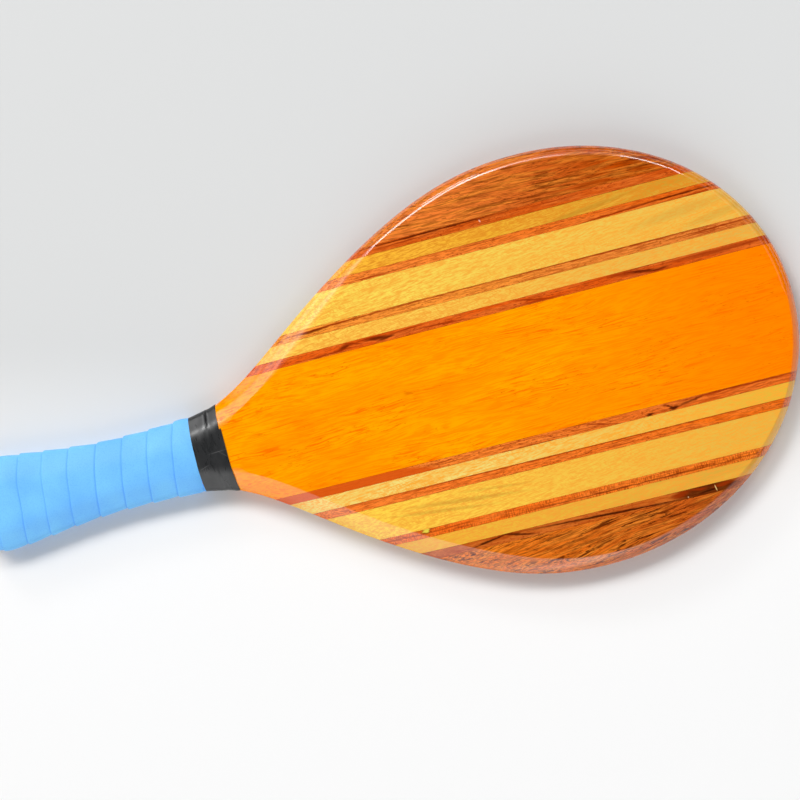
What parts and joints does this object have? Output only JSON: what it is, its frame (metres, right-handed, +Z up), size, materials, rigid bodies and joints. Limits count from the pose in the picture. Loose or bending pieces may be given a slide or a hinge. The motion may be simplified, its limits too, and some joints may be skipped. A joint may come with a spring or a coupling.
{
  "type": "beach paddle",
  "caption": "Wooden beach paddle: a teardrop board of striped, edge-glued staves with planed edges and a waisted handle wound with grip tape and a dark finishing tape.",
  "frame": {"origin": "on the ground, under the middle of the paddle's box", "axes": "+X along the paddle from the butt of the handle to the tip of the blade, +Y to the left side of the blade as seen from the butt, +Z up, out of the striped face that the picture shows"},
  "size_m": [0.432, 0.209, 0.0184],
  "materials": {
    "orange_wood": "orange-stained wood under gloss varnish",
    "yellow_wood": "pale yellow wood under gloss varnish",
    "red_wood": "red-brown wood under gloss varnish",
    "dark_wood": "dark brown wood with open pores under gloss varnish",
    "grip": "matt sky blue grip tape",
    "finishing_tape": "black plastic tape, slightly shiny"
  },
  "bodies": {
    "root": {"centre_board": "orange_wood", "left_red_strip_1": "red_wood", "left_narrow_yellow_strip_1": "yellow_wood", "left_red_strip_2": "red_wood", "left_wide_yellow_strip": "yellow_wood", "left_red_strip_3": "red_wood", "left_narrow_yellow_strip_2": "yellow_wood", "left_red_strip_4": "red_wood", "left_outer_board": "dark_wood", "right_red_strip_1": "red_wood", "right_narrow_yellow_strip_1": "yellow_wood", "right_red_strip_2": "red_wood", "right_wide_yellow_strip": "yellow_wood", "right_red_strip_3": "red_wood", "right_narrow_yellow_strip_2": "yellow_wood", "right_red_strip_4": "red_wood", "right_outer_board": "dark_wood", "grip_tape": "grip", "finishing_tape": "finishing_tape"}
  },
  "joints": []
}
